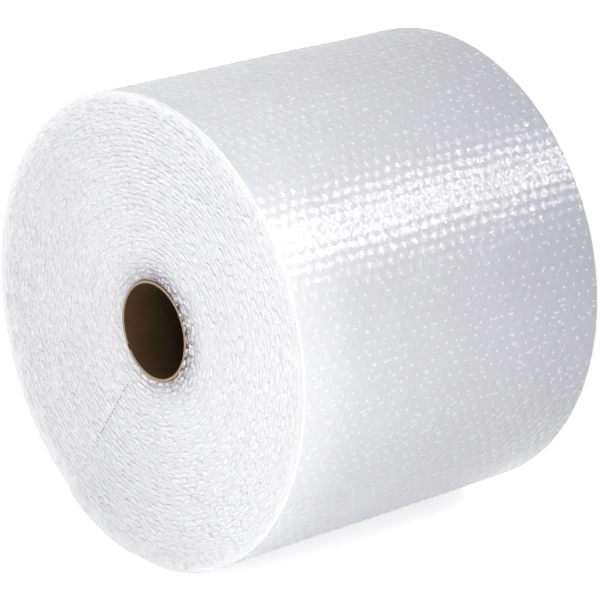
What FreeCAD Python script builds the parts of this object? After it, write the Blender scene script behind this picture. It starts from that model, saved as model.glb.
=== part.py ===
import FreeCAD, Part
import math
import os
import Sketcher

# Roll of small bubble cushioning wound on a paperboard core, lying on its side.
# The bore of the core runs along X, its middle is the origin, and +Z is up.
# The near end is at -X. Lengths are millimetres, angles are degrees.

SIZES = (
    ("core_bore_radius", 38.1, "three inch core, half its inside width"),
    ("core_wall", 2.2, "wall of the paperboard tube"),
    ("core_length", 301.0, "length of the tube, a little inside the wound sheet"),
    ("core_edge", 0.3, "worn edge at the mouths of the tube"),
    ("web_width", 305.0, "width of the wound sheet, along the roll"),
    ("web_thickness", 3.65, "one turn of bubble sheet, pressed by the winding"),
    ("turn_gap", 0.6, "slack between one turn and the next"),
    ("seat_clearance", 0.3, "first turn to the core"),
    ("roll_radius", 195.0, "outside of the last turn at the tail"),
    ("centre_across", 11.0, "middle of the last turn from the core, along Y"),
    ("centre_up", -4.0, "middle of the last turn from the core, along Z"),
    ("out_of_round", 2.2, "how far the last turn bulges past a circle, each way"),
    ("bulge_angle", -38.0, "where the roll is widest, from +Y towards +Z"),
    ("floor_sag", 1.3, "how far the last turn is flattened by its own weight"),
    ("tail_angle", -58.0, "where the sheet ends, from +Y towards +Z"),
    ("inner_chords", 32.0, "straight steps in a turn inside the roll"),
    ("outer_chords", 144.0, "straight steps in the last turn"),
    ("split_start", -64.0, "lower end of the split in the rim, from +Y"),
    ("split_end", -31.0, "upper end of the split in the rim, from +Y"),
    ("split_width", 0.45, "opening between the parted plies"),
    ("split_depth", 1.6, "how deep the plies have parted"),
    ("chip_span", 7.0, "angle of the chip at the upper end of the split"),
    ("chip_depth", 2.4, "how deep the chip goes into the tube"),
)


def fill_sheet(doc):
    """Writes every driving size into a named cell."""
    sheet = doc.addObject("Spreadsheet::Sheet", "Sizes")
    for row, (name, value, meaning) in enumerate(SIZES, start=1):
        sheet.set(f"A{row}", name)
        sheet.set(f"B{row}", str(value))
        sheet.set(f"C{row}", meaning)
        sheet.setAlias(f"B{row}", name)
    doc.recompute()
    return sheet


def origin_plane(body, role):
    """One of the body's own base planes."""
    for feature in body.Origin.OriginFeatures:
        if feature.Role == role:
            return feature
    raise RuntimeError(f"{body.Label} has no {role}")


def add_end_sketch(body, name):
    """A sketch across the roll, its x along Y and its y along Z."""
    sketch = body.newObject("Sketcher::SketchObject", name)
    sketch.AttachmentSupport = (origin_plane(body, "YZ_Plane"), [""])
    sketch.MapMode = "FlatFace"
    return sketch


def add_circle(sketch, radius, cell):
    """A circle about the core's middle with its radius tied to the sheet."""
    middle = FreeCAD.Vector(0, 0, 0)
    circle = sketch.addGeometry(Part.Circle(middle, FreeCAD.Vector(0, 0, 1), radius), False)
    sketch.addConstraint(Sketcher.Constraint("Coincident", circle, 3, -1, 1))
    bound = sketch.addConstraint(Sketcher.Constraint("Radius", circle, radius))
    sketch.setExpression(f"Constraints[{bound}]", cell)


def on_circle(radius, degrees):
    """A point of the sketch at a radius and an angle from Y."""
    angle = math.radians(degrees)
    return FreeCAD.Vector(radius * math.cos(angle), radius * math.sin(angle), 0)


def add_arc_slot(sketch, inside, outside, start, end):
    """A closed slot along the rim, between two radii and two angles."""
    middle = (start + end) / 2
    inner = Part.Arc(on_circle(inside, start), on_circle(inside, middle), on_circle(inside, end))
    outer = Part.Arc(on_circle(outside, start), on_circle(outside, middle), on_circle(outside, end))
    sketch.addGeometry(inner, False)
    sketch.addGeometry(outer, False)
    for angle in (start, end):
        sketch.addGeometry(Part.LineSegment(on_circle(inside, angle), on_circle(outside, angle)), False)


def cut_near_rim(doc, body, sketch, depth_cell):
    """Cuts a sketch into the near end of the tube, and checks that it cut."""
    before = body.Shape.Volume
    sketch.setExpression("AttachmentOffset.Base.z", "-Sizes.core_length / 2")
    pocket = body.newObject("PartDesign::Pocket", sketch.Name + "_cut")
    pocket.Profile = sketch
    pocket.Reversed = True
    pocket.setExpression("Length", depth_cell)
    doc.recompute()
    if body.Shape.Volume >= before:
        raise RuntimeError(f"{sketch.Name} cut nothing")


def build_core(doc, sheet):
    """Paperboard tube, one piece, with parted plies and a chip in its near rim."""
    body = doc.addObject("PartDesign::Body", "paper_core")
    body.Label = "paper_core"
    ring = add_end_sketch(body, "tube_ring")
    outside = sheet.core_bore_radius + sheet.core_wall
    add_circle(ring, sheet.core_bore_radius, "Sizes.core_bore_radius")
    add_circle(ring, outside, "Sizes.core_bore_radius + Sizes.core_wall")
    tube = body.newObject("PartDesign::Pad", "tube")
    tube.Profile = ring
    tube.Midplane = True
    tube.setExpression("Length", "Sizes.core_length")
    doc.recompute()

    mouths = [
        f"Edge{i}"
        for i, edge in enumerate(tube.Shape.Edges, start=1)
        if isinstance(edge.Curve, Part.Circle) and len(edge.Vertexes) == 1
    ]
    worn = body.newObject("PartDesign::Chamfer", "worn_mouths")
    worn.Base = (tube, mouths)
    worn.setExpression("Size", "Sizes.core_edge")
    doc.recompute()

    split_middle = sheet.core_bore_radius + sheet.core_wall / 2
    split = add_end_sketch(body, "parted_plies")
    add_arc_slot(
        split,
        split_middle - sheet.split_width / 2,
        split_middle + sheet.split_width / 2,
        sheet.split_start,
        sheet.split_end,
    )
    cut_near_rim(doc, body, split, "Sizes.split_depth")

    chip = add_end_sketch(body, "chip")
    bore_side = sheet.core_bore_radius - sheet.core_wall / 2
    add_arc_slot(chip, bore_side, split_middle, sheet.split_end - sheet.chip_span, sheet.split_end)
    cut_near_rim(doc, body, chip, "Sizes.chip_depth")
    return body


class Winding:
    """The path of the sheet: a spiral whose middle drifts from the core to the roll."""

    def __init__(self, sheet):
        self.first_radius = sheet.core_bore_radius + sheet.core_wall + sheet.seat_clearance
        self.pitch = sheet.web_thickness + sheet.turn_gap
        self.last_radius = sheet.roll_radius
        self.turns = (sheet.roll_radius - sheet.web_thickness - self.first_radius) / self.pitch
        self.drift = (sheet.centre_across, sheet.centre_up)
        self.sag = sheet.floor_sag
        self.bulge = sheet.out_of_round
        self.bulge_angle = math.radians(sheet.bulge_angle)
        self.tail = sheet.tail_angle / 360.0
        self.lowest_pass = self.turns - self.tail - 0.25

    def middle(self, turn):
        """Centre of the turn: on the core at the start, on the roll's centre at the tail."""
        share = turn / self.turns
        return self.drift[0] * share, self.drift[1] * share

    def angle(self, turn):
        """Direction of the path from its middle, measured from Y towards Z."""
        return 2 * math.pi * (turn - self.turns + self.tail)

    def radius(self, turn, lift):
        """Distance from the middle: round at the core, and slightly oval further out."""
        even = self.first_radius + self.pitch * turn + lift
        oval = math.cos(2 * (self.angle(turn) - self.bulge_angle))
        return even + self.bulge * oval * (turn / self.turns) ** 3

    def floor(self, turn, lift):
        """Lowest height that the turn may reach where it crosses the underside."""
        crossing = self.lowest_pass + round(turn - self.lowest_pass)
        radius = self.radius(crossing, lift)
        flattened = self.sag * (radius / self.last_radius) ** 3
        return self.middle(crossing)[1] - radius + flattened

    def point(self, turn, lift):
        """Point of the path, lifted off the inner face, and whether it lies on the flat."""
        radius = self.radius(turn, lift)
        angle = self.angle(turn)
        across, up = self.middle(turn)
        low = self.floor(turn, lift)
        height = up + radius * math.sin(angle)
        flat = height <= low
        return FreeCAD.Vector(0, across + radius * math.cos(angle), max(height, low)), flat

    def face_line(self, lift, steps):
        """One face of the sheet from the core to the tail, with each flat as one chord."""
        marked = [self.point(turn, lift) for turn in steps]
        line = []
        for i, (place, flat) in enumerate(marked):
            inside_flat = flat and 0 < i < len(marked) - 1 and marked[i - 1][1] and marked[i + 1][1]
            if not inside_flat:
                line.append(place)
        return line


def winding_steps(winding, inner_chords, outer_chords):
    """Turn counts at which the path has a corner: coarse inside, fine on the last turn."""
    fine_from = winding.turns - 1
    coarse = int(round(fine_from * inner_chords))
    steps = [fine_from * i / coarse for i in range(coarse)]
    fine = int(round(outer_chords))
    return steps + [fine_from + i / fine for i in range(fine + 1)]


def build_wrap(doc, sheet):
    """Bubble sheet wound up as one strip; its turns show at both ends."""
    winding = Winding(sheet)
    steps = winding_steps(winding, sheet.inner_chords, sheet.outer_chords)
    inner_face = winding.face_line(0.0, steps)
    outer_face = winding.face_line(sheet.web_thickness, steps)
    outline = inner_face + outer_face[::-1] + inner_face[:1]
    section = doc.addObject("Part::Feature", "web_section")
    section.Shape = Part.Face(Part.makePolygon(outline))

    wrap = doc.addObject("Part::Extrusion", "bubble_wrap")
    wrap.Label = "bubble_wrap"
    wrap.Base = section
    wrap.DirMode = "Custom"
    wrap.Dir = FreeCAD.Vector(1, 0, 0)
    wrap.Symmetric = True
    wrap.Solid = True
    wrap.setExpression("LengthFwd", "Sizes.web_width")
    doc.recompute()
    flat = winding.floor(winding.lowest_pass, sheet.web_thickness)
    print(f"turns {winding.turns:.2f}, underside at z {flat:.3f} mm")
    return wrap


def check_objects(doc):
    """Stops if any object of the document failed."""
    for item in doc.Objects:
        if "Invalid" in item.State or "Error" in item.State:
            raise RuntimeError(f"{item.Name} failed: {item.State}")


def write_part(item):
    """Checks one sub-part and writes its STEP file."""
    shape = item.Shape
    if shape.isNull() or not shape.isValid() or not shape.Solids:
        raise RuntimeError(f"{item.Label} has no valid solid")
    shape.exportStep(os.path.join("parts", item.Label + ".step"))
    box = shape.BoundBox
    print(f"{item.Label}: {shape.Volume / 1000:.2f} cm3, {len(shape.Solids)} solid, z {box.ZMin:.2f} to {box.ZMax:.2f}")


os.makedirs("parts", exist_ok=True)
document = FreeCAD.newDocument("bubble_wrap_roll")
sizes = fill_sheet(document)
pieces = [build_core(document, sizes), build_wrap(document, sizes)]
document.recompute()
check_objects(document)
for piece in pieces:
    write_part(piece)
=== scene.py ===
import math
import random

import bmesh
import bpy
import numpy as np
from mathutils import Matrix, Vector


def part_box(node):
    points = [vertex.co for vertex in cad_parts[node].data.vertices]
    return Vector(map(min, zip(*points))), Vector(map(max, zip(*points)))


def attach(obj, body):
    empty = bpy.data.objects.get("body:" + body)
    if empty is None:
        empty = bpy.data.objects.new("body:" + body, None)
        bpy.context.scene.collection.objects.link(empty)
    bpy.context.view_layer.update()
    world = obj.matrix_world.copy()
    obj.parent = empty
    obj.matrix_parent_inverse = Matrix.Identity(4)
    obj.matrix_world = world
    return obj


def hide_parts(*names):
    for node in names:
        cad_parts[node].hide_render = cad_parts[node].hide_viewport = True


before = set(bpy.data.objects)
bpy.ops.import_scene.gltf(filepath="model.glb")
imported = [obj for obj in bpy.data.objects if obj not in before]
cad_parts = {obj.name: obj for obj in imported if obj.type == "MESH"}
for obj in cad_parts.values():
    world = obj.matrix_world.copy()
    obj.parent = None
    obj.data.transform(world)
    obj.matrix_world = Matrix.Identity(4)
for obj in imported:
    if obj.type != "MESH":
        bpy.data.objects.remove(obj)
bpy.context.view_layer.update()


# The outer turn: the last of one long web of bubble sheet, wound with its flat side out.
# It is clear polythene, drawn down between the bubbles beneath, and here it also closes
# over both ends as the ground of the coil. The web ends as a thin lip low at the back.
wrap_low, wrap_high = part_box("bubble_wrap")
core_low, core_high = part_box("paper_core")
half_width = (wrap_high[0] - wrap_low[0]) / 2
core_radius = (core_high[1] - core_low[1]) / 2
seat_gap = 0.0003
first_radius = core_radius + seat_gap
web_thickness = 0.00365
turn_pitch = 0.00425
roll_radius = 0.195
mean_radius = 0.193
drift_across, drift_up = 0.011, -0.004
out_of_round = 0.0022
bulge_angle = math.radians(-38)
floor_sag = 0.0013
tail_share = -58 / 360
turn_count = (roll_radius - web_thickness - first_radius) / turn_pitch
lowest_pass = turn_count - tail_share - 0.25
bubble_spacing = 0.0104
arc_steps = 560
width_steps = 138
end_shares = [i / 10 for i in range(10)] + [0.95, 0.98, 1.0]
relief = 0.00055
relief_fade = 0.005
wander_arc, wander_along = 0.0016, 0.0012
crease_height = 0.00016
swell_height = 0.00035
side_inset = 0.0005
rim_round, rim_reach = 0.0006, 0.0012
end_drop = 0.0016
end_inset = 0.0003
end_ground = 0.0018
ground_gap = 0.0002
dish_depth, dish_reach = 0.0008, 0.007
tail_depth, tail_length = 0.0026, 0.024


def path_radius(turn, lift):
    """Distance of the web from the middle of its turn."""
    angle = 2 * np.pi * (turn - turn_count + tail_share)
    oval = np.cos(2 * (angle - bulge_angle))
    return first_radius + turn_pitch * turn + lift + out_of_round * oval * (turn / turn_count) ** 3


def path_point(turn, lift):
    """Across and up of the web at a turn, lifted off its inner face."""
    turn = np.asarray(turn, float)
    angle = 2 * np.pi * (turn - turn_count + tail_share)
    radius = path_radius(turn, lift)
    across = drift_across * turn / turn_count + radius * np.cos(angle)
    up = drift_up * turn / turn_count + radius * np.sin(angle)
    crossing = lowest_pass + np.round(turn - lowest_pass)
    deep = path_radius(crossing, lift)
    low = drift_up * crossing / turn_count - deep + floor_sag * (deep / roll_radius) ** 3
    return across, np.maximum(up, low)


def path_turn(length):
    """Turn reached after a length of web."""
    return (math.sqrt(first_radius**2 + turn_pitch * length / math.pi) - first_radius) / turn_pitch


def dish(across, up):
    """How far the film near the core has sunk into the end of the roll."""
    beyond = np.hypot(across, up) - core_radius
    return dish_depth * np.exp(-np.maximum(beyond, 0) / dish_reach)


def lattice(arc, along, spacing):
    """Height from 0 to 1 of a honeycomb of bubbles, rows running along the roll."""
    wave = 4 * math.pi / (math.sqrt(3) * spacing)
    total = 0
    for degrees in (30, 90, 150):
        turn = math.radians(degrees)
        total = total + np.cos(wave * (along * math.cos(turn) + arc * math.sin(turn)))
    return (total + 1.5) / 4.5


def smooth_noise(arc, along, arc_scale, along_scale, seed):
    """A soft field between -1 and 1, made of a few seeded waves."""
    chance = random.Random(seed)
    field = 0
    for _ in range(9):
        arc_wave = chance.uniform(-1, 1) * 2 * math.pi / arc_scale
        along_wave = chance.uniform(-1, 1) * 2 * math.pi / along_scale
        field = field + np.sin(arc * arc_wave + along * along_wave + chance.uniform(0, 6.3))
    return field / 5


def film_mesh():
    """The closed skin of the roll as a grid: in at one end, along the side, out at the other."""
    turns = turn_count - 1 + np.arange(arc_steps + 1) / arc_steps
    bearing = 2 * np.pi * (turns - turn_count + tail_share)
    arc = np.cumsum(np.full(arc_steps + 1, 2 * math.pi * mean_radius / arc_steps))
    flattened = tail_depth * np.clip((arc - arc[-1]) / tail_length + 1, 0, 1) ** 2
    core_across = (first_radius + ground_gap) * np.cos(bearing)
    core_up = (first_radius + ground_gap) * np.sin(bearing)
    rows = []
    row_uv = []

    def end_rows(side, order):
        edge_across, edge_up = path_point(turns, web_thickness - end_drop - flattened)
        for share in order:
            across = core_across + (edge_across - core_across) * share
            up = core_up + (edge_up - core_up) * share
            ground = half_width - end_inset - end_ground * (1 - share**24) - dish(across, up)
            rows.append((np.full(arc_steps + 1, side) * ground, across, up))
            inward = side * (half_width + 0.15 * (1 - share))
            row_uv.append((arc * share, np.full(arc_steps + 1, inward)))

    end_rows(-1, end_shares)
    for step in range(width_steps + 1):
        along = -half_width + 2 * half_width * step / width_steps
        edge = half_width - abs(along)
        shift_arc = arc + wander_arc * smooth_noise(arc, along, 0.07, 0.05, 3)
        shift_along = along + wander_along * smooth_noise(arc, along, 0.06, 0.06, 4)
        dome = lattice(shift_arc, shift_along, bubble_spacing)
        crease = crease_height * smooth_noise(arc, along, 0.16, 0.014, 5)
        swell = swell_height * smooth_noise(arc, along, 0.2, 0.11, 6)
        drawn_in = relief * (1 - dome) * min(1, edge / relief_fade)
        rounded = rim_round * math.exp(-edge / rim_reach)
        lift = web_thickness - drawn_in + crease + swell - side_inset - rounded
        across, up = path_point(turns, lift - flattened)
        rows.append((np.full(arc_steps + 1, along), across, up))
        row_uv.append((shift_arc, shift_along))
    end_rows(1, end_shares[::-1])

    columns = arc_steps + 1
    points = np.concatenate([np.stack(row, axis=1) for row in rows])
    flat_uv = np.concatenate([np.stack(pair, axis=1) for pair in row_uv])
    count = len(rows)
    index = np.arange(count * columns).reshape(count, columns)
    following = np.roll(index, -1, axis=1)
    below = np.roll(index, -1, axis=0)
    below_following = np.roll(following, -1, axis=0)
    quads = np.stack([index, below, below_following, following], axis=-1).reshape(-1, 4)
    mesh = bpy.data.meshes.new("outer_film")
    mesh.from_pydata(points.tolist(), [], quads.tolist())
    uv = mesh.uv_layers.new(name="web")
    corner = np.zeros(len(mesh.loops), np.int32)
    mesh.loops.foreach_get("vertex_index", corner)
    uv.data.foreach_set("uv", flat_uv[corner].astype(np.float32).ravel())
    smooth = np.ones((count, columns), bool)
    smooth[len(end_shares) : -len(end_shares), -1] = False
    mesh.polygons.foreach_set("use_smooth", smooth.ravel())
    mesh.update()
    return mesh


def outward(mesh):
    """Turns every face of a closed mesh to the outside."""
    work = bmesh.new()
    work.from_mesh(mesh)
    bmesh.ops.recalc_face_normals(work, faces=work.faces)
    work.to_mesh(mesh)
    work.free()


class Surface:
    """A new material, with short ways to add nodes to it."""

    def __init__(self, name):
        self.material = bpy.data.materials.new(name)
        self.material.use_nodes = True
        self.shader = self.material.node_tree.nodes["Principled BSDF"]
        self.body = self.add("ShaderNodeTexCoord", "Object", {})
        self.web = self.body.node.outputs["UV"]
        self.x, self.y, self.z = self.split(self.body)

    def add(self, kind, output, inputs, **settings):
        """Adds a node, fills its inputs with values or other outputs, returns one output."""
        node = self.material.node_tree.nodes.new(kind)
        for name, value in settings.items():
            setattr(node, name, value)
        for name, value in inputs.items():
            self.feed(node.inputs[name], value)
        return node.outputs[output]

    def feed(self, socket, value):
        if isinstance(value, bpy.types.NodeSocket):
            self.material.node_tree.links.new(value, socket)
        else:
            socket.default_value = value

    def finish(self, inputs):
        """Fills the shader's own sockets."""
        for name, value in inputs.items():
            self.feed(self.shader.inputs[name], value)
        return self.material

    def split(self, vector):
        node = self.add("ShaderNodeSeparateXYZ", "X", {0: vector}).node
        return node.outputs["X"], node.outputs["Y"], node.outputs["Z"]

    def math(self, kind, first, second=None):
        inputs = {0: first} if second is None else {0: first, 1: second}
        return self.add("ShaderNodeMath", 0, inputs, operation=kind)

    def vector(self, kind, first, second=None):
        inputs = {0: first} if second is None else {0: first, 1: second}
        return self.add("ShaderNodeVectorMath", 0, inputs, operation=kind)

    def times(self, first, second):
        return self.math("MULTIPLY", first, second)

    def plus(self, first, second):
        return self.math("ADD", first, second)

    def ramp(self, value, low, high, start=0.0, end=1.0, **settings):
        """A value mapped from low..high to start..end and held there."""
        inputs = {"Value": value, "From Min": low, "From Max": high, "To Min": start, "To Max": end}
        return self.add("ShaderNodeMapRange", "Result", inputs, **settings)

    def mix(self, share, first, second):
        inputs = {"Factor": share, "A": first, "B": second}
        return self.add("ShaderNodeMix", "Result", inputs, data_type="RGBA")

    def noise(self, scale, detail, vector, stretch=(1, 1, 1)):
        place = self.add("ShaderNodeMapping", 0, {"Vector": vector, "Scale": stretch})
        inputs = {"Vector": place, "Scale": scale, "Detail": detail}
        return self.add("ShaderNodeTexNoise", "Fac", inputs)

    def flecks(self, scale, reach, share, vector, stretch=(1, 1, 1)):
        """Small bright spots at a share of scattered cells."""
        place = self.add("ShaderNodeMapping", 0, {"Vector": vector, "Scale": stretch})
        cells = self.add("ShaderNodeTexVoronoi", "Distance", {"Vector": place, "Scale": scale})
        parts = self.add("ShaderNodeSeparateColor", "Red", {"Color": cells.node.outputs["Color"]})
        chosen = self.math("LESS_THAN", parts, share)
        return self.times(self.ramp(cells, reach, reach * 0.55), chosen)

    def bump(self, height, strength, distance):
        inputs = {"Height": height, "Strength": strength, "Distance": distance}
        return self.add("ShaderNodeBump", 0, inputs)

    def from_axis(self):
        """Distance from the axis of the core."""
        return self.math("SQRT", self.plus(self.times(self.y, self.y), self.times(self.z, self.z)))


def core_shade(film, plain):
    """The film's colour with painted shade: darker in grainy specks in a ring round the core, strongest
    towards -Y and upward.
    """
    near_core = film.ramp(film.from_axis(), core_radius + 0.030, core_radius)
    shaded_side = film.math("SUBTRACT", film.y, film.times(film.z, 0.5))
    shaded_side = film.ramp(shaded_side, 0.050, -0.030, start=0.12)
    grain = film.ramp(film.noise(700, 2, film.body), 0.44, 0.54)
    dark = film.times(film.math("POWER", near_core, 2.0), shaded_side)
    dark = film.times(dark, film.plus(film.times(grain, 0.7), 0.3))
    return film.mix(dark, plain, (0.12, 0.10, 0.135, 1))


def web_material():
    """Clear film over bubbles: milky and cool, with glints and creases in its relief; painted light
    lightens the near end and puts white glint dots on some bubbles beside short light dashes; painted
    shade darkens it towards the far end and round the core.
    """
    film = Surface("web_film")
    along_web = film.split(film.web)
    wave = 4 * math.pi / (math.sqrt(3) * bubble_spacing)
    total = 0.0
    for degrees in (30, 90, 150):
        turn = math.radians(degrees)
        along = film.times(along_web[1], wave * math.cos(turn))
        around = film.times(along_web[0], wave * math.sin(turn))
        total = film.plus(film.math("COSINE", film.plus(along, around)), total)
    dome = film.times(film.plus(total, 1.5), 1 / 4.5)

    crumple = film.noise(420, 3, film.body)
    folds = film.times(film.noise(75, 3, film.web, (1.0, 5.0, 1.0)), film.math("SUBTRACT", 1.3, dome))
    height = film.plus(film.times(folds, 0.9), film.times(crumple, 0.4))
    height = film.plus(height, film.times(dome, 0.7))
    slant = film.noise(120, 3, film.web, (1.0, 2.2, 1.0))
    crest = film.plus(film.times(slant, 1.3), film.times(dome, 0.22))

    # Painted glints: white dots over the middle of some bubbles, in patches.
    patchy = film.math("GREATER_THAN", film.noise(150, 1, film.web), 0.46)
    painted_glint_dots = film.times(film.ramp(dome, 0.90, 0.97), film.times(patchy, 0.42))
    dashes = film.times(film.flecks(230, 0.30, 0.62, film.web, (1.0, 0.40, 1.0)), 0.22)

    clouds = film.noise(28, 3, film.web)
    tone = film.mix(clouds, (0.535, 0.535, 0.566, 1), (0.615, 0.617, 0.645, 1))
    # Painted shade: the film darkens steadily from x = -0.11 to the far end.
    far_end_shade = film.ramp(film.x, -0.11, half_width)
    tone = film.mix(far_end_shade, tone, (0.37, 0.37, 0.405, 1))
    # Painted light: below the top, the film is made lighter over the last 65 mm at the near end.
    lit = film.ramp(film.x, -half_width + 0.065, -half_width, interpolation_type="SMOOTHSTEP")
    below_top = film.ramp(film.z, 0.165, 0.110)
    tone = film.mix(film.times(lit, below_top), tone, (0.69, 0.69, 0.71, 1))
    # The film's ends take the cut film's own pale tone; on the side this also lifts a thin strip at the
    # rim, as painted light over the shade of the crevice there.
    cut_end = film.ramp(film.math("ABSOLUTE", film.x), half_width - 0.0026, half_width - 0.0021)
    tone = core_shade(film, film.mix(cut_end, tone, (0.79, 0.79, 0.803, 1)))
    return film.finish(
        {
            "Base Color": film.mix(film.math("MAXIMUM", painted_glint_dots, dashes), tone, (1.0, 1.0, 1.0, 1)),
            "Roughness": 0.30,
            "IOR": 1.5,
            "Specular IOR Level": 0.25,
            "Coat Weight": 0.5,
            "Coat Roughness": 0.09,
            "Subsurface Weight": 0.25,
            "Subsurface Radius": (1.0, 1.0, 1.0),
            "Subsurface Scale": 0.006,
            "Normal": film.bump(height, 0.8, 0.0011),
            "Coat Normal": film.bump(crest, 1.0, 0.0010),
        }
    )


outer_film = bpy.data.objects.new("outer_film", film_mesh())
bpy.context.scene.collection.objects.link(outer_film)
outward(outer_film.data)
outer_film.data.materials.append(web_material())
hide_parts("bubble_wrap")
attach(outer_film, "root")


# The cut edges: at both ends the knife has gone through the rows of bubbles.
# Each turn shows a chain of slit pockets and whole bubbles, pressed by the winding.
# The film is the same as outside; the chain follows its spiral from the core to the tail.
pocket_half_width = 0.0047
pocket_half_height = 0.0019
chain_lift = web_thickness / 2 - 0.0013
chain_inset = 0.0018
chain_stop = tail_length + 0.002


def cut_material():
    """Cut and crumpled film: white and soft, with painted glints as small bright specks, and painted
    shade in specks round the core.
    """
    film = Surface("cut_film")
    height = film.plus(film.times(film.noise(950, 2, film.body), 0.7), film.noise(420, 3, film.body))
    bump = film.bump(height, 0.3, 0.0011)
    endward = film.vector("MULTIPLY", film.body, (18.0, 0.0, 0.0))
    softened = film.vector("NORMALIZE", film.vector("ADD", bump, endward))

    # Painted glints: small white sparkles scattered over the cut film, denser in patches.
    fine = film.flecks(620, 0.45, 0.30, film.body)
    coarse = film.flecks(310, 0.36, 0.50, film.body, (1.0, 1.0, 0.6))
    dense = film.ramp(film.noise(17, 2, film.body), 0.38, 0.58, start=0.2)
    painted_sparkle = film.times(film.math("MAXIMUM", fine, coarse), dense)
    clouds = film.noise(20, 3, film.body)
    tone = film.mix(clouds, (0.785, 0.783, 0.803, 1), (0.820, 0.818, 0.836, 1))
    return film.finish(
        {
            "Base Color": film.mix(painted_sparkle, core_shade(film, tone), (1.0, 1.0, 1.0, 1)),
            "Roughness": 0.30,
            "IOR": 1.5,
            "Specular IOR Level": 0.25,
            "Coat Weight": 0.3,
            "Coat Roughness": 0.09,
            "Subsurface Weight": 0.6,
            "Subsurface Radius": (1.0, 1.0, 1.0),
            "Subsurface Scale": 0.004,
            "Normal": softened,
            "Coat Normal": bump,
        }
    )


cut_film = cut_material()


def ring(count, across, height, shift=0.0):
    """Points of a D-shaped opening, flat on its outer side."""
    points = []
    for i in range(count):
        turn = 2 * math.pi * i / count
        y = math.cos(turn)
        y = y * (0.75 if y > 0 else 1.0)
        points.append((y * height + shift, math.sin(turn) * across))
    return points


def shape_object(name, rings, side):
    """A small closed shape from rings along the roll; side is the end that it faces."""
    mesh = bpy.data.meshes.new(name)
    work = bmesh.new()
    loops = []
    for along, points in rings:
        loops.append([work.verts.new((side * along, y, z)) for y, z in points])
    for first, second in zip(loops, loops[1:]):
        for i in range(len(first)):
            j = (i + 1) % len(first)
            work.faces.new((first[i], first[j], second[j], second[i]))
    work.faces.new(loops[0])
    work.faces.new(loops[-1][::-1])
    bmesh.ops.triangulate(work, faces=[f for f in work.faces if len(f.verts) > 4])
    bmesh.ops.recalc_face_normals(work, faces=work.faces)
    for face in work.faces:
        face.smooth = True
    work.to_mesh(mesh)
    work.free()
    item = bpy.data.objects.new(name, mesh)
    bpy.context.scene.collection.objects.link(item)
    return item


def slit_pocket(side):
    """A bubble that the knife opened: a thin cup with a D-shaped mouth."""
    wide, tall = pocket_half_width, pocket_half_height
    rings = [
        (-0.0022, ring(8, wide * 0.7, tall * 0.7)),
        (-0.0008, ring(8, wide, tall)),
        (0.0004, ring(8, wide * 0.90, tall * 0.88)),
        (0.00035, ring(8, wide * 0.78, tall * 0.62)),
        (-0.0001, ring(8, wide * 0.50, tall * 0.36)),
    ]
    return shape_object("slit_pocket", rings, side)


def whole_bubble(side):
    """A bubble beside the cut, pushed out as a low pillow."""
    wide, tall = pocket_half_width, pocket_half_height
    rings = [
        (-0.0022, ring(8, wide * 0.8, tall * 0.8)),
        (-0.0004, ring(8, wide, tall)),
        (0.0003, ring(8, wide * 0.78, tall * 0.74)),
        (0.0005, ring(8, wide * 0.34, tall * 0.30)),
    ]
    return shape_object("whole_bubble", rings, side)


def pinched_film(side):
    """Flat film between bubbles, nipped into a small crest."""
    wide, tall = pocket_half_width, pocket_half_height
    rings = [
        (-0.0022, ring(6, wide * 1.0, tall * 0.95)),
        (0.0001, ring(6, wide * 0.95, tall * 0.7, tall * 0.1)),
        (0.0008, ring(6, wide * 0.5, tall * 0.10, -tall * 0.25)),
    ]
    return shape_object("pinched_film", rings, side)


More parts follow.
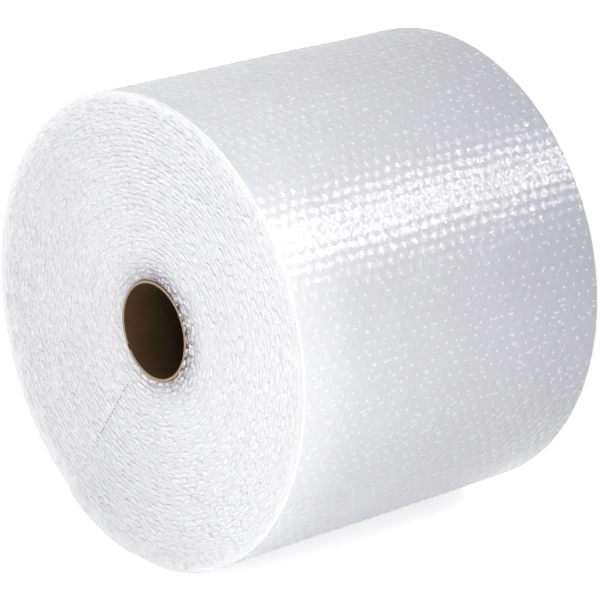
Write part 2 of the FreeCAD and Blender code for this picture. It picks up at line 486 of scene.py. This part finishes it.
def chain_tree(side, shapes):
    """Geometry nodes: evenly spaced points on the spiral, a varied shape of film on each."""
    tree = bpy.data.node_groups.new("cut_edge_chain", "GeometryNodeTree")
    face = tree.interface
    face.new_socket(name="Spiral", in_out="INPUT", socket_type="NodeSocketGeometry")
    spacing = face.new_socket(name="Bubble spacing", in_out="INPUT", socket_type="NodeSocketFloat")
    scatter = face.new_socket(name="Scatter", in_out="INPUT", socket_type="NodeSocketFloat")
    seed = face.new_socket(name="Seed", in_out="INPUT", socket_type="NodeSocketInt")
    finish = face.new_socket(name="Film", in_out="INPUT", socket_type="NodeSocketMaterial")
    face.new_socket(name="Chain", in_out="OUTPUT", socket_type="NodeSocketGeometry")
    nodes = tree.nodes
    links = tree.links
    given = nodes.new("NodeGroupInput")
    result = nodes.new("NodeGroupOutput")

    curve = nodes.new("GeometryNodeMeshToCurve")
    links.new(given.outputs["Spiral"], curve.inputs["Mesh"])
    evenly = nodes.new("GeometryNodeResampleCurve")
    evenly.mode = "LENGTH"
    links.new(curve.outputs[0], evenly.inputs["Curve"])
    links.new(given.outputs["Bubble spacing"], evenly.inputs["Length"])

    def jitter(low, high, shift):
        node = nodes.new("FunctionNodeRandomValue")
        node.data_type = "FLOAT_VECTOR"
        node.inputs[0].default_value = low
        node.inputs[1].default_value = high
        add = nodes.new("ShaderNodeMath")
        add.operation = "ADD"
        add.inputs[1].default_value = shift
        links.new(given.outputs["Seed"], add.inputs[0])
        links.new(add.outputs[0], node.inputs["Seed"])
        return node.outputs[0]

    moved = nodes.new("GeometryNodeSetPosition")
    scaled = nodes.new("ShaderNodeVectorMath")
    scaled.operation = "SCALE"
    links.new(jitter((-0.35, -0.35, -0.35), (0.35, 0.35, 0.35), 1), scaled.inputs[0])
    links.new(given.outputs["Scatter"], scaled.inputs["Scale"])
    links.new(evenly.outputs[0], moved.inputs["Geometry"])
    links.new(scaled.outputs[0], moved.inputs["Offset"])

    where = nodes.new("GeometryNodeInputPosition")
    parts = nodes.new("ShaderNodeSeparateXYZ")
    links.new(where.outputs[0], parts.inputs[0])
    bearing = nodes.new("ShaderNodeMath")
    bearing.operation = "ARCTAN2"
    links.new(parts.outputs["Z"], bearing.inputs[0])
    links.new(parts.outputs["Y"], bearing.inputs[1])
    turned = nodes.new("ShaderNodeCombineXYZ")
    links.new(bearing.outputs[0], turned.inputs["X"])
    tilt = nodes.new("ShaderNodeVectorMath")
    tilt.operation = "ADD"
    links.new(turned.outputs[0], tilt.inputs[0])
    links.new(jitter((-0.15, -0.10, -0.22), (0.15, 0.10, 0.22), 2), tilt.inputs[1])

    choices = nodes.new("GeometryNodeJoinGeometry")
    for shape in shapes:
        info = nodes.new("GeometryNodeObjectInfo")
        info.inputs["Object"].default_value = shape
        info.inputs["As Instance"].default_value = True
        links.new(info.outputs["Geometry"], choices.inputs[0])
    pick = nodes.new("FunctionNodeRandomValue")
    pick.data_type = "INT"
    pick.inputs[4].default_value = 0
    pick.inputs[5].default_value = len(shapes) - 1
    links.new(given.outputs["Seed"], pick.inputs["Seed"])
    placed = nodes.new("GeometryNodeInstanceOnPoints")
    placed.inputs["Pick Instance"].default_value = True
    links.new(moved.outputs[0], placed.inputs["Points"])
    links.new(choices.outputs[0], placed.inputs["Instance"])
    links.new(pick.outputs[2], placed.inputs["Instance Index"])
    links.new(tilt.outputs[0], placed.inputs["Rotation"])
    links.new(jitter((0.8, 0.98, 0.98), (1.2, 1.14, 1.14), 3), placed.inputs["Scale"])
    real = nodes.new("GeometryNodeRealizeInstances")
    links.new(placed.outputs[0], real.inputs[0])

    paint = nodes.new("GeometryNodeSetMaterial")
    links.new(real.outputs[0], paint.inputs["Geometry"])
    links.new(given.outputs["Film"], paint.inputs["Material"])
    links.new(paint.outputs[0], result.inputs["Chain"])
    return tree, {
        spacing.identifier: bubble_spacing,
        scatter.identifier: 0.0014,
        seed.identifier: 11 if side < 0 else 12,
        finish.identifier: cut_film,
    }


def spiral_line(side):
    """The web's middle line at one end of the roll, as a chain of edges."""
    length = math.pi * turn_count * (2 * first_radius + turn_pitch * turn_count) - chain_stop
    count = int(length / 0.005)
    turns = np.array([path_turn(length * i / count) for i in range(count + 1)])
    across, up = path_point(turns, chain_lift)
    along = side * (half_width - chain_inset - dish(across, up))
    mesh = bpy.data.meshes.new("spiral")
    joins = [(i, i + 1) for i in range(len(turns) - 1)]
    mesh.from_pydata(np.stack([along, across, up], axis=1).tolist(), joins, [])
    return mesh


def cut_edge(name, side):
    """The whole chain of cut bubbles at one end."""
    shapes = [slit_pocket(side), whole_bubble(side), pinched_film(side)]
    guide = bpy.data.objects.new(name + "_guide", spiral_line(side))
    bpy.context.scene.collection.objects.link(guide)
    tree, values = chain_tree(side, shapes)
    modifier = guide.modifiers.new("chain", "NODES")
    modifier.node_group = tree
    for identifier, value in values.items():
        modifier[identifier] = value
    bpy.context.view_layer.update()
    graph = bpy.context.evaluated_depsgraph_get()
    mesh = bpy.data.meshes.new_from_object(guide.evaluated_get(graph))
    mesh.name = name
    guide.modifiers.clear()
    for spare in [guide] + shapes:
        bpy.data.objects.remove(spare)
    piece = bpy.data.objects.new(name, mesh)
    bpy.context.scene.collection.objects.link(piece)
    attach(piece, "root")
    return piece


near_edges = cut_edge("near_cut_edges", -1)
far_edges = cut_edge("far_cut_edges", 1)


# The core: a spiral-wound paperboard tube, tan at its trimmed rim, dark brown inside, with painted shade
# that deepens into the bore.
# The seams of its plies run round it as a slow helix.
# Its own solid is kept; only the paper is added here.
core_end = core_high[0]
core_wall = 0.0022
ply = 0.0007
seam_pitch = 0.11


def core_material():
    """Kraft paperboard: fibres, ply seams, pale cut rim, and a bore wall painted dark as shade, darker
    further in.
    """
    paper = Surface("kraft_board")
    radius = paper.from_axis()
    from_middle = paper.math("ABSOLUTE", paper.x)
    fibres = paper.noise(900, 4, paper.body)

    bearing = paper.math("ARCTAN2", paper.z, paper.y)
    helix = paper.plus(paper.times(paper.x, 2 * math.pi / seam_pitch), bearing)
    seam = paper.math("GREATER_THAN", paper.math("COSINE", helix), 0.9985)
    # The bore wall: kraft brown, painted darker than the paper as the shade inside the tube.
    bore_wall_and_shade = paper.mix(paper.noise(45, 3, paper.body), (0.058, 0.030, 0.011, 1), (0.108, 0.058, 0.022, 1))
    # Painted shade: the bore wall darkens towards near black from 3 mm to 45 mm in from each end.
    painted_bore_shade = paper.ramp(from_middle, core_end - 0.003, core_end - 0.045, end=0.92)
    bore_wall_and_shade = paper.mix(painted_bore_shade, bore_wall_and_shade, (0.010, 0.005, 0.002, 1))
    bore_wall_and_shade = paper.mix(paper.times(seam, 0.6), bore_wall_and_shade, (0.012, 0.006, 0.003, 1))

    plies = paper.math("SINE", paper.times(radius, 2 * math.pi / ply))
    layers = paper.plus(paper.times(plies, 0.25), fibres)
    rim = paper.mix(layers, (0.33, 0.220, 0.135, 1), (0.46, 0.325, 0.210, 1))
    ends = paper.math("GREATER_THAN", from_middle, core_end - 0.0005)
    outside_bore = paper.math("GREATER_THAN", radius, core_radius - core_wall - 0.0001)
    return paper.finish(
        {
            "Base Color": paper.mix(paper.times(ends, outside_bore), bore_wall_and_shade, rim),
            "Roughness": 0.85,
            "Specular IOR Level": 0.2,
            "Normal": paper.bump(fibres, 0.35, 0.0003),
        }
    )


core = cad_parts["paper_core"]
core.data.materials.clear()
core.data.materials.append(core_material())


# The studio: a white sweep under the roll and even white surroundings.
# A broad key stands by the camera's left, a long softbox to the right draws the band of
# light along the film, and three more light the top, the back and the far end.
floor_glow = 0.66
world_level = 0.30


def seen_share(nodes, links):
    """1 for the rays that show the backdrop: camera, glossy and transmission."""
    ray = nodes.new("ShaderNodeLightPath")
    total = ray.outputs["Is Camera Ray"]
    for kind in ("Is Glossy Ray", "Is Transmission Ray"):
        most = nodes.new("ShaderNodeMath")
        most.operation = "MAXIMUM"
        links.new(total, most.inputs[0])
        links.new(ray.outputs[kind], most.inputs[1])
        total = most.outputs[0]
    return total


def stage_floor():
    """A wide white floor at the height of the roll's flat."""
    mesh = bpy.data.meshes.new("floor")
    reach = 14
    height = wrap_low[2]
    corners = [(-reach, -reach), (reach, -reach), (reach, reach), (-reach, reach)]
    mesh.from_pydata([(x, y, height) for x, y in corners], [], [(0, 1, 2, 3)])
    floor = bpy.data.objects.new("floor", mesh)
    bpy.context.scene.collection.objects.link(floor)
    material = bpy.data.materials.new("sweep")
    material.use_nodes = True
    nodes = material.node_tree.nodes
    links = material.node_tree.links
    shader = nodes["Principled BSDF"]
    shader.inputs["Base Color"].default_value = (0.80, 0.80, 0.805, 1)
    shader.inputs["Roughness"].default_value = 0.9
    shader.inputs["Specular IOR Level"].default_value = 0.1
    shader.inputs["Emission Color"].default_value = (1, 1, 1, 1)
    seen = nodes.new("ShaderNodeMath")
    seen.operation = "MULTIPLY"
    seen.inputs[1].default_value = floor_glow
    links.new(seen_share(nodes, links), seen.inputs[0])
    links.new(seen.outputs[0], shader.inputs["Emission Strength"])
    mesh.materials.append(material)


def softbox(name, place, aim, size, power):
    """A rectangular lamp at a place, turned to a point."""
    lamp = bpy.data.lights.new(name, "AREA")
    lamp.shape = "RECTANGLE"
    lamp.size, lamp.size_y = size
    lamp.energy = power
    item = bpy.data.objects.new(name, lamp)
    item.location = place
    item.rotation_euler = (Vector(aim) - Vector(place)).to_track_quat("-Z", "Y").to_euler()
    item.visible_camera = False
    bpy.context.scene.collection.objects.link(item)


def white_world():
    """Even white surroundings at a moderate level, pure white where they are seen."""
    world = bpy.data.worlds.new("surroundings")
    bpy.context.scene.world = world
    world.use_nodes = True
    nodes = world.node_tree.nodes
    links = world.node_tree.links
    backdrop = nodes["Background"]
    backdrop.inputs["Color"].default_value = (1, 1, 1, 1)
    level = nodes.new("ShaderNodeMapRange")
    level.inputs["To Min"].default_value = world_level
    level.inputs["To Max"].default_value = 1.0
    links.new(seen_share(nodes, links), level.inputs["Value"])
    links.new(level.outputs["Result"], backdrop.inputs["Strength"])


def set_camera():
    """The photograph's view: the near end to the left, looking slightly down."""
    azimuth, elevation = math.radians(-40.0), math.radians(19.13)
    distance = 2.641
    focal_pixels = 3287
    frame_pixels = 600
    sensor = 36
    shift_right, shift_up = -0.0044, 0.0059
    roll_middle = Vector((0, 0.0098, -0.0043))
    back = Vector(
        (
            math.sin(azimuth) * math.cos(elevation),
            -math.cos(azimuth) * math.cos(elevation),
            math.sin(elevation),
        )
    )
    right = Vector((math.cos(azimuth), math.sin(azimuth), 0))
    up = back.cross(right)
    data = bpy.data.cameras.new("camera")
    data.sensor_width = sensor
    data.lens = sensor * focal_pixels / frame_pixels
    camera = bpy.data.objects.new("camera", data)
    turn = Matrix((right, up, back)).transposed().to_4x4()
    stand = roll_middle + distance * back - shift_right * right - shift_up * up
    camera.matrix_world = Matrix.Translation(stand) @ turn
    bpy.context.scene.collection.objects.link(camera)
    bpy.context.scene.camera = camera


stage_floor()
white_world()
softbox("key", (-1.30, -1.00, 0.15), (-0.1, 0, 0), (0.9, 0.9), 19.7)
softbox("band", (1.28, -1.15, 1.25), (0, -0.05, 0.05), (0.95, 0.34), 23)
softbox("back_fill", (-0.3, 2.3, 0.5), (0, 0, 0), (1.2, 1.2), 20)
softbox("far_fill", (2.4, 0.3, 0.4), (0, 0, 0), (1.0, 1.0), 11)
softbox("top", (0.1, 0.5, 2.3), (0, 0, 0), (1.4, 1.4), 25)
bpy.context.scene.view_settings.view_transform = "Standard"
set_camera()
